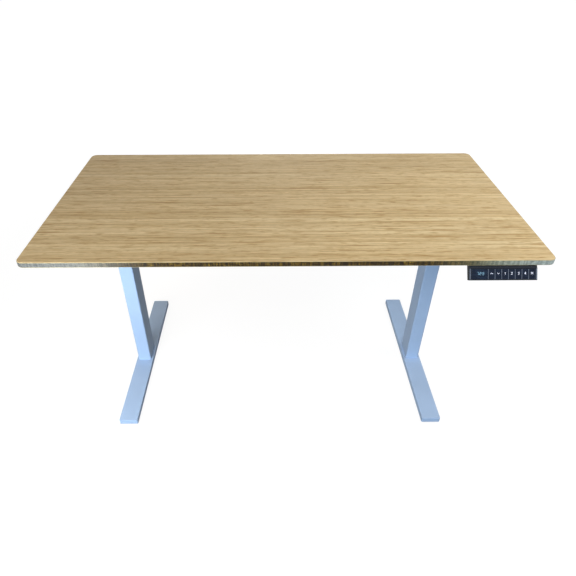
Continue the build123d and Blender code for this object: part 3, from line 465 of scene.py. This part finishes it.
def bezel_face():
    """The face's frame: metallic grey ribs between the keys and a silver line at each end that is partly a
    painted highlight of the rounded end, with dark rims.
    """
    f = Finish("bezel_silver", roughness=0.35, metallic=0.3, Specular_IOR_Level=0.2)
    x, y, z = f.split(f.place)
    up = f.plus(f.times(y, float(FACE_UP[1])), f.times(z, float(FACE_UP[2])))
    height = f.away(up, float(FACE_MIDDLE @ FACE_UP))
    rim = f.ramp(height, FACE_HEIGHT / 2 - FACE_RIM - 0.0002, FACE_HEIGHT / 2 - FACE_RIM + 0.0002)
    end = f.away(x, float(FACE_MIDDLE[0]))
    half = float(bezel_size[0]) / 2
    # painted highlight: the silver line at each end stands partly for the light that the rounded end catches
    outside = f.ramp(end, half - END_SILVER_AND_HIGHLIGHT - 0.0003, half - END_SILVER_AND_HIGHLIGHT)
    inside = f.minus(1.0, outside)
    beside = f.times(f.ramp(end, half - END_DARK - 0.0002, half - END_DARK + 0.0002), inside)
    dark = f.times(f.math("MAXIMUM", rim, beside), inside)
    grain = f.noise(f.place, 1600.0, 2.0)
    silver = f.tone(srgb(122, 130, 144), f.ramp(grain, 0.3, 0.7, 0.9, 1.08))
    black = f.tone(srgb(14, 19, 30), f.ramp(grain, 0.3, 0.7, 0.85, 1.15))
    f.paint(f.mix(dark, silver, black))
    f.relief(grain, 0.00003, 0.5)
    return f.material


def key_face(name, colour):
    """Glossy dark cap: a clear coat over a deep navy, with faint wiping marks."""
    f = Finish(name, roughness=0.25, Specular_IOR_Level=0.15, Coat_Weight=0.1, Coat_Roughness=0.08)
    smear = f.noise(f.stretch(60.0, 60.0, 160.0), 1.0, 3.0)
    f.paint(f.tone(colour, f.ramp(smear, 0.3, 0.7, 0.85, 1.25)))
    f.fill(f.shader.inputs["Roughness"], f.ramp(smear, 0.3, 0.7, 0.18, 0.34))
    return f.material


def lit(name, colour, strength):
    """A lit mark, its brightness changing a little from place to place."""
    f = Finish(name, roughness=0.4)
    glow = f.noise(f.place, 500.0, 1.0)
    shade = f.tone(colour, f.ramp(glow, 0.3, 0.7, 0.9, 1.1))
    f.paint(shade)
    f.fill(f.shader.inputs["Emission Color"], shade)
    f.shader.inputs["Emission Strength"].default_value = strength
    return f.material


finishes = {
    "bamboo": bamboo(),
    "frame_paint": powder_coat("frame_paint", srgb(169, 191, 219)),
    "inner_tube_finish": powder_coat("inner_tube_finish", srgb(174, 195, 221), 0.00003),
    "plain_steel": zinc("plain_steel", srgb(168, 170, 174)),
    "bolt_steel": zinc("bolt_steel", srgb(150, 152, 156)),
    "ground_steel": zinc("ground_steel", srgb(190, 191, 194)),
    "black_plastic": levelling_foot(),
    "nut_brass": turned("nut_brass", srgb(196, 164, 96)),
    "insert_brass": turned("insert_brass", srgb(196, 164, 96)),
    "wheel_nylon": moulded("wheel_nylon", srgb(228, 222, 204), 500.0),
    "pad_nylon": moulded("pad_nylon", srgb(230, 228, 220), 500.0),
    "cast_alloy": cast("cast_alloy", srgb(176, 178, 182)),
    "motor_black": powder_coat("motor_black", srgb(38, 39, 42)),
    "box_plastic": moulded("box_plastic", srgb(36, 37, 40)),
    "socket_plastic": moulded("socket_plastic", srgb(22, 22, 24), roughness=0.4),
    "handset_plastic": moulded("handset_plastic", srgb(20, 24, 32), 1200.0, specular=0.15),
    "bezel_silver": bezel_face(),
    "display_glass": key_face("display_glass", srgb(12, 26, 44)),
    "board_green": circuit_board(),
    "key_gloss": key_face("key_gloss", srgb(14, 25, 42)),
}
slots = {part["node"]: part["material_slot"] for part in record["subparts"]}
for name, piece in frame["nodes"].items():
    piece.data.materials.clear()
    piece.data.materials.append(finishes[slots[name]])


# --- marks on the handset's face

def surface(name, points, faces, material, body):
    """A mesh from an array of points and its faces, riding on a body."""
    mesh = bpy.data.meshes.new(name)
    mesh.from_pydata(points.tolist(), [], faces.tolist())
    mesh.validate()
    mesh.update()
    mesh.materials.append(material)
    piece = bpy.data.objects.new(name, mesh)
    bpy.context.scene.collection.objects.link(piece)
    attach(piece, body)
    return piece


def on_face(middle, flat, lift):
    """Points (u, v) round a middle on the leaning face: middle + u*X + v*up + lift*out."""
    u, v = flat[:, 0:1], flat[:, 1:2]
    return middle + u * np.array([[1.0, 0.0, 0.0]]) + v * FACE_UP + lift * FACE_OUT


def stroke(points, width):
    """A flat line of a given width through points: each point is set off by half the width along the mitre.

    The mitre at a point is the mean of its two runs' normals divided by the square of that mean's length.
    """
    points = np.array(points, float)
    runs = np.diff(points, axis=0)
    normals = np.stack([-runs[:, 1], runs[:, 0]], 1) / np.linalg.norm(runs, axis=1)[:, None]
    before = np.vstack([normals[:1], normals])
    after = np.vstack([normals, normals[-1:]])
    mitre = (before + after) / 2
    mitre = mitre / (mitre ** 2).sum(1)[:, None]
    left, right = points + mitre * width / 2, points - mitre * width / 2
    count = len(points)
    start = np.arange(count - 1)
    faces = np.stack([start, start + 1, start + 1 + count, start + count], 1)[:, ::-1]
    return np.vstack([left, right]), faces


def raised(outlines, thickness):
    """Several flat outlines as thin plates: the outline, its copy a thickness higher, and the walls between.

    Each outline is (points, faces); walls join the edges that only one face uses.
    """
    points, faces, offset = [], [], 0
    for flat, quads in outlines:
        count = len(flat)
        lower = np.column_stack([flat, np.zeros(count)])
        upper = np.column_stack([flat, np.full(count, thickness)])
        edges = np.stack([quads, np.roll(quads, -1, axis=1)], -1).reshape(-1, 2)
        keys = np.sort(edges, axis=1) @ np.array([count, 1])
        _, first, uses = np.unique(keys, return_index=True, return_counts=True)
        rim = edges[first[uses == 1]]
        walls = np.stack([rim[:, 0], rim[:, 1], rim[:, 1] + count, rim[:, 0] + count], 1)
        points.append(np.vstack([lower, upper]))
        faces.append(np.vstack([quads[:, ::-1], quads + count, walls]) + offset)
        offset += 2 * count
    return np.vstack(points), np.vstack(faces)


def mark(name, outlines, middle, sink, material, body):
    """A thin plate of marks, standing proud of a surface that lies sink below the face's plane."""
    points, faces = raised(outlines, MARK_THICKNESS)
    placed = on_face(middle, points[:, :2], 0.0) + (points[:, 2:3] - sink) * FACE_OUT
    return surface(name, placed, faces, material, body)


# the bars that each digit lights
SEGMENTS = {"7": "abc", "2": "abged", "5": "afgcd"}


def digit(character, left):
    """A seven-segment digit: bars a to g between the corners of two stacked squares, sheared by the slant."""
    w, h = DIGIT_WIDTH, DIGIT_HEIGHT
    gap = DIGIT_STROKE * 0.55
    ends = {
        "a": ((gap, h), (w - gap, h)),
        "b": ((w, h - gap), (w, h / 2 + gap)),
        "c": ((w, h / 2 - gap), (w, gap)),
        "d": ((gap, 0), (w - gap, 0)),
        "e": ((0, gap), (0, h / 2 - gap)),
        "f": ((0, h / 2 + gap), (0, h - gap)),
        "g": ((gap, h / 2), (w - gap, h / 2)),
    }
    bars = []
    for letter in SEGMENTS[character]:
        flat, faces = stroke(ends[letter], DIGIT_STROKE)
        flat = flat + np.array([left, -h / 2])
        flat[:, 0] += flat[:, 1] * DIGIT_SLANT
        bars.append((flat, faces))
    return bars


def face_place(node):
    """The middle of a node on the face's plane, a little further up, where its mark sits."""
    low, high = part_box(node)
    return np.array([(low[0] + high[0]) / 2, FACE_MIDDLE[1], FACE_MIDDLE[2]]) + MARK_LIFT * FACE_UP


glow = lit("display_glow", srgb(128, 170, 192), 0.6)
icon = lit("key_icon", srgb(214, 216, 228), 0.5)
advance = DIGIT_WIDTH + DIGIT_GAP
shown = digit("7", -1.62 * advance) + digit("2", -0.62 * advance) + digit("5", 0.62 * advance)
point_x, point_y = 0.32 * advance, -DIGIT_HEIGHT / 2
shown.append(stroke([(point_x, point_y), (point_x + POINT_WIDTH, point_y)], DIGIT_STROKE))
digits_place = face_place("display_window") + np.array([DIGITS_TO_RIGHT, 0.0, 0.0])
display_mark = mark("display_digits", shown, digits_place, GLASS_SINK, glow, "table")

# each icon is one line through points, in metres from the middle of its mark
ICONS = {
    "up": [(-0.0032, -0.0015), (0, 0.0017), (0.0032, -0.0015)],
    "down": [(-0.0032, 0.0015), (0, -0.0017), (0.0032, 0.0015)],
    "one": [(-0.0012, 0.0018), (0.0003, 0.0031), (0.0003, -0.0031)],
    "two": [(-0.0017, 0.0018), (-0.001, 0.0029), (0.0009, 0.0029), (0.0017, 0.0018), (0.0012, 0.0004),
            (-0.0017, -0.003), (0.0019, -0.003)],
    "three": [(-0.0017, 0.003), (0.0016, 0.003), (0.0, 0.0005), (0.0013, 0.0), (0.0016, -0.0015),
              (0.0007, -0.003), (-0.0017, -0.003)],
    "four": [(0.0019, -0.001), (-0.002, -0.001), (0.0008, 0.0031), (0.0008, -0.0031)],
    "memory": [(-0.0022, -0.003), (-0.0022, 0.003), (0.0, -0.0004), (0.0022, 0.003), (0.0022, -0.003)],
}
for key, line in ICONS.items():
    outlines = [stroke(line, ICON_STROKE)]
    icon_piece = mark(f"mark_{key}", outlines, face_place(f"key_{key}"), KEY_SINK, icon, f"key_{key}_cap")


# --- bolts and screws with their drive recesses and threads

def solids_of(node):
    """The corners of each separate solid of a CAD node: corners at one place are one, and edges join them.

    Every corner starts with its own number, and both ends of an edge take the lower one till nothing changes.
    """
    mesh = frame["nodes"][node].data
    corners = np.zeros(len(mesh.vertices) * 3)
    mesh.vertices.foreach_get("co", corners)
    corners = corners.reshape(-1, 3)
    ends = np.zeros(len(mesh.edges) * 2, int)
    mesh.edges.foreach_get("vertices", ends)
    places, same = np.unique(np.round(corners, 6), axis=0, return_inverse=True)
    first, second = same.reshape(-1)[ends.reshape(-1, 2)].T
    label = np.arange(len(places))
    while True:
        lower = label.copy()
        np.minimum.at(lower, first, label[second])
        np.minimum.at(lower, second, label[first])
        if (lower == label).all():
            return [places[label == number] for number in np.unique(label)]
        label = lower


def hexagon(angles, across):
    """The radius of a hexagon: half the distance across its flats, divided by cos of the angle to a flat."""
    return across / 2 / np.cos(np.mod(angles, pi / 3) - pi / 6)


def cross(angles, reach):
    """The radius of a cross of two bars: the further of the two, each bar ending at its reach or its side."""
    side = reach * np.tan(pi / 12)
    cosines, sines = np.abs(np.cos(angles)) + 1e-9, np.abs(np.sin(angles)) + 1e-9
    lying = np.minimum(reach / cosines, side / sines)
    standing = np.minimum(reach / sines, side / cosines)
    return np.maximum(lying, standing)


def around(count):
    """Faces between a count of rings of ROUND points: two neighbours and the same two on the next ring."""
    ring, step = np.meshgrid(np.arange(count - 1), np.arange(ROUND), indexing="ij")
    after = (step + 1) % ROUND
    near, far = ring * ROUND, (ring + 1) * ROUND
    return np.stack([near + step, near + after, far + after, far + step], -1).reshape(-1, 4)


def joined(name, parts, finish, node, sharp):
    """One smooth mesh from several (points, faces), sharp at edges over so many degrees, on a node's body."""
    firsts = np.cumsum([0] + [len(points) for points, faces in parts])
    all_points = np.vstack([points for points, faces in parts])
    all_faces = np.vstack([faces + first for (points, faces), first in zip(parts, firsts)])
    piece = surface(name, all_points, all_faces, finishes[finish], frame["nodes"][node]["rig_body"])
    piece.data.shade_smooth()
    piece.data.set_sharp_from_angle(angle=radians(sharp))
    return piece


def fastener(head_radius, head_height, radius, length, recess, pitch):
    """A domed head with a recess, and a threaded shank, as rings round one axis.

    The dome's radius is 0.62 + 0.38 sin(a) of the head's, at a depth of 0.9 (1 - cos(a)) of its height, for a
    from 0 to 90 degrees. The thread's radius is the shank's less 0.3 of the pitch times
    1 + |2 frac(turns - angle / 360) - 1|.
    """
    angles = np.arange(ROUND) * 2 * pi / ROUND
    ones = np.ones(ROUND)
    hollow = recess(angles, head_radius)
    floor = head_height * 0.6
    rise = np.linspace(0, pi / 2, HEAD_STEPS)
    rings = [(floor * 1.1, 0.0 * ones), (floor, hollow * 0.92), (0.02 * head_height, hollow)]
    rings += [(0.9 * head_height * (1 - cos(a)), head_radius * (0.62 + 0.38 * sin(a)) * ones) for a in rise]
    rings += [(head_height, head_radius * 0.985 * ones), (head_height, radius * ones)]
    turns = np.arange(1, int((length - head_height - radius * 0.4) / pitch * TURN_STEPS)) / TURN_STEPS
    fall = np.abs(2 * np.mod(turns[:, None] - angles / (2 * pi), 1.0) - 1)
    rings += list(zip(head_height + turns * pitch, radius - 0.3 * pitch * (1 + fall)))
    rings += [(length - radius * 0.35, radius * 0.8 * ones), (length, radius * 0.5 * ones)]
    rings += [(length, 0.0 * ones)]
    depth = np.array([ring[0] for ring in rings])[:, None] * ones
    reach = np.array([ring[1] for ring in rings])
    points = np.stack([reach * np.cos(angles), reach * np.sin(angles), depth], -1).reshape(-1, 3)
    return points, around(len(rings))


def dress_fasteners(node, recess, pitch, finish):
    """Puts a detailed bolt in place of each plain one: along its longest side, its head at the wider end."""
    parts = []
    for corners in solids_of(node):
        low, high = corners.min(0), corners.max(0)
        along = int(np.argmax(high - low))
        middle = (low + high) / 2
        sides = [(along + 1) % 3, (along + 2) % 3]
        reach = np.hypot(*(corners[:, sides] - middle[sides]).T)
        levels = np.unique(np.round(corners[:, along], 5))
        at_low, at_high = corners[:, along] < levels[1] - 1e-5, corners[:, along] > levels[-2] + 1e-5
        if reach[at_low].max() > reach[at_high].max():
            start, way, seat, tip = low[along], 1.0, levels[1], at_high
        else:
            start, way, seat, tip = high[along], -1.0, levels[-2], at_low
        length = high[along] - low[along]
        points, faces = fastener(reach.max(), abs(seat - start), reach[tip].max(), length, recess, pitch)
        placed = np.zeros_like(points)
        placed[:, along] = start + way * points[:, 2]
        placed[:, sides[0]] = middle[sides[0]] + points[:, 0]
        placed[:, sides[1]] = middle[sides[1]] + points[:, 1]
        parts.append((placed, faces if way > 0 else faces[:, ::-1]))
    piece = joined(f"{node}_detail", parts, finish, node, 32)
    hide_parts(node)


def key_socket(angles, head_radius):
    """A hexagon socket, 0.72 of the head's radius across its flats."""
    return hexagon(angles, head_radius * 0.72)


def cross_slot(angles, head_radius):
    """A cross recess that reaches 0.56 of the head's radius."""
    return cross(angles, head_radius * 0.56)


for node in ("frame_bolts", "left_foot_bolts", "right_foot_bolts", "desktop_screws"):
    dress_fasteners(node, key_socket, BOLT_PITCH, "bolt_steel")
dress_fasteners("wood_screws", cross_slot, WOOD_SCREW_PITCH, "bolt_steel")


# --- contacts in the control box's sockets

def contact(middle, width, height, length):
    """A pin along +Y from its foot, with a narrowing tip.

    Its section is x = a c |c| ** -0.6 and z = b s |s| ** -0.6, with a and b half its width and height, and c
    and s the cosine and sine round the pin.
    """
    angles = np.arange(ROUND) * 2 * pi / ROUND
    wave = np.stack([np.cos(angles), np.sin(angles)], -1)
    flat = np.sign(wave) * np.abs(wave) ** 0.4 * np.array([width, height]) / 2
    depths = np.array([0.0, 0.9, 0.97, 1.0, 1.0]) * length
    scales = np.array([1.0, 1.0, 0.85, 0.5, 0.0])
    across = flat[None, :, 0] * scales[:, None]
    upward = flat[None, :, 1] * scales[:, None]
    points = np.stack([across, depths[:, None] + 0 * across, upward], -1).reshape(-1, 3) + middle
    # X, Z and Y in that order are left-handed, so each face is turned over
    return points, around(len(depths))[:, [0, 3, 2, 1]]


def dress_sockets():
    """Three blades in the mains inlet, two rows of three pins for each motor, eight pins for the handset.

    A layout holds the place from the socket's middle along X and Z, the width and the height of each contact.
    """
    blades = [(-0.007, -0.0015, 0.002, 0.004), (0.0, 0.0025, 0.002, 0.004), (0.007, -0.0015, 0.002, 0.004)]
    motor_pins = [(x * 0.0042, z * 0.0021, 0.0011, 0.0011) for x in (-1, 0, 1) for z in (-1, 1)]
    handset_pins = [((i - 3.5) * 0.00105, 0.0015, 0.0006, 0.0006) for i in range(8)]
    cups = sorted(solids_of("control_box_sockets"), key=lambda corners: corners[:, 0].mean())
    parts = []
    for corners, layout in zip(cups, (blades, motor_pins, motor_pins, handset_pins)):
        low, high = corners.min(0), corners.max(0)
        middle = (low + high) / 2
        for x, z, width, height in layout:
            foot = np.array([middle[0] + x, high[1] - SOCKET_HOLE - CONTACT_SINK, middle[2] + z])
            parts.append(contact(foot, width, height, CONTACT_LENGTH))
    piece = joined("socket_contacts", parts, "plain_steel", "control_box_sockets", 40)


dress_sockets()


# --- studio: floor, lamps and camera

def background(tree, dim, bright):
    """A colour that is bright for camera, mirror and glass rays and dim for the light on the desk."""
    rays = tree.nodes.new("ShaderNodeLightPath")
    seen = rays.outputs["Is Camera Ray"]
    for name in ("Is Glossy Ray", "Is Transmission Ray"):
        either = tree.nodes.new("ShaderNodeMath")
        either.operation = "MAXIMUM"
        tree.links.new(seen, either.inputs[0])
        tree.links.new(rays.outputs[name], either.inputs[1])
        seen = either.outputs[0]
    either = tree.nodes.new("ShaderNodeMix")
    either.data_type = "RGBA"
    tree.links.new(seen, either.inputs["Factor"])
    either.inputs[6].default_value = (*dim, 1.0)
    either.inputs[7].default_value = (*bright, 1.0)
    return either.outputs[2]


world = bpy.data.worlds.new("studio")
bpy.context.scene.world = world
world.use_nodes = True
sky = world.node_tree.nodes["Background"]
world.node_tree.links.new(background(world.node_tree, FILL, WHITE), sky.inputs["Color"])


def studio_floor():
    """Pale floor: it scatters some light, and looks white to a camera, a little less near the desk."""
    material = bpy.data.materials.new("studio_floor")
    material.use_nodes = True
    tree = material.node_tree
    tree.nodes.clear()
    output = tree.nodes.new("ShaderNodeOutputMaterial")
    diffuse = tree.nodes.new("ShaderNodeBsdfDiffuse")
    diffuse.inputs["Color"].default_value = (FLOOR_GREY, FLOOR_GREY, FLOOR_GREY, 1.0)
    place = tree.nodes.new("ShaderNodeTexCoord")
    away = tree.nodes.new("ShaderNodeVectorMath")
    away.operation = "LENGTH"
    tree.links.new(place.outputs["Object"], away.inputs[0])
    reach = tree.nodes.new("ShaderNodeMapRange")
    reach.interpolation_type = "SMOOTHSTEP"
    tree.links.new(away.outputs["Value"], reach.inputs["Value"])
    ends = (FLOOR_NEAR_REACH, FLOOR_FAR_REACH, FLOOR_NEAR, FLOOR_FAR)
    for socket, value in zip(reach.inputs[1:5], ends):
        socket.default_value = value
    light = tree.nodes.new("ShaderNodeEmission")
    tree.links.new(background(tree, BLACK, WHITE), light.inputs["Color"])
    tree.links.new(reach.outputs[0], light.inputs["Strength"])
    both = tree.nodes.new("ShaderNodeAddShader")
    tree.links.new(diffuse.outputs[0], both.inputs[0])
    tree.links.new(light.outputs[0], both.inputs[1])
    tree.links.new(both.outputs[0], output.inputs["Surface"])
    signs = np.array([(-1, -1), (1, -1), (1, 1), (-1, 1)])
    corners = np.column_stack([signs * FLOOR_HALF, np.full(4, -FLOOR_DROP)])
    mesh = bpy.data.meshes.new("floor")
    mesh.from_pydata(corners.tolist(), [], [(0, 1, 2, 3)])
    mesh.materials.append(material)
    floor = bpy.data.objects.new("floor", mesh)
    bpy.context.scene.collection.objects.link(floor)


def lamp(name, place, aim, size, power, colour):
    """A square soft box at a place, facing an aim."""
    data = bpy.data.lights.new(name, "AREA")
    data.size = size
    data.energy = power
    data.color = colour
    made = bpy.data.objects.new(name, data)
    made.location = place
    facing = Vector(aim) - Vector(place)
    made.rotation_euler = facing.to_track_quat("-Z", "Y").to_euler()
    bpy.context.scene.collection.objects.link(made)


studio_floor()
LAMPS = (
    # name, place, aim, size of its side, watts, colour
    ("key_light", (-0.95, -1.1, 0.66), (-0.55, 0, 0.4), 0.7, 11.6, (0.88, 0.96, 1.04)),
    ("glint_light", (-0.62, -0.6, 0.58), (-0.575, 0, 0.65), 0.25, 0.9, (1.0, 1.0, 0.96)),
    ("front_light", (0.0, -3.6, 0.4), (0.2, 0, 0.35), 1.0, 46, (0.76, 0.96, 1.18)),
    ("high_light", (-0.4, -2.4, 3.4), (0, -0.2, 0.2), 2.0, 70, (1.01, 0.99, 0.98)),
    ("right_light", (1.6, -0.3, 2.1), (0.6, 0, 0.7), 1.4, 28, (0.95, 1.0, 1.04)),
    ("rear_light", (0.1, 3.4, 0.55), (0, 0.2, 0.2), 1.0, 34, (1.0, 0.95, 0.88)),
    ("back_light", (-0.75, 0.75, 0.55), (-0.53, 0.2, 0), 0.4, 2.1, (1.0, 0.87, 0.72)),
    ("side_light", (0.5, 0.32, 0.5), (0.53, 0.2, 0), 0.3, 0.45, (0.95, 1.0, 1.04)),
)
for details in LAMPS:
    lamp(*details)

# the camera looks down by its pitch; its lens is given as a share of the sensor's width
CAMERA_PLACE = (-0.0465, -1.4927, 1.5093)
CAMERA_YAW = radians(-0.21)
CAMERA_PITCH = radians(35.80)
CAMERA_ROLL = radians(-0.19)
SENSOR_WIDTH = 36.0
LENS_SHARE = 0.8514
camera_data = bpy.data.cameras.new("camera")
camera_data.sensor_width = SENSOR_WIDTH
camera_data.lens = SENSOR_WIDTH * LENS_SHARE
camera_data.shift_x = 0.0289
camera_data.shift_y = -0.0329
camera = bpy.data.objects.new("camera", camera_data)
turned_to = Matrix.Rotation(CAMERA_YAW, 4, "Z") @ Matrix.Rotation(pi / 2 - CAMERA_PITCH, 4, "X")
turned_to = turned_to @ Matrix.Rotation(CAMERA_ROLL, 4, "Z")
camera.matrix_world = Matrix.Translation(CAMERA_PLACE) @ turned_to
bpy.context.scene.collection.objects.link(camera)
bpy.context.scene.camera = camera
bpy.context.scene.view_settings.view_transform = "Standard"
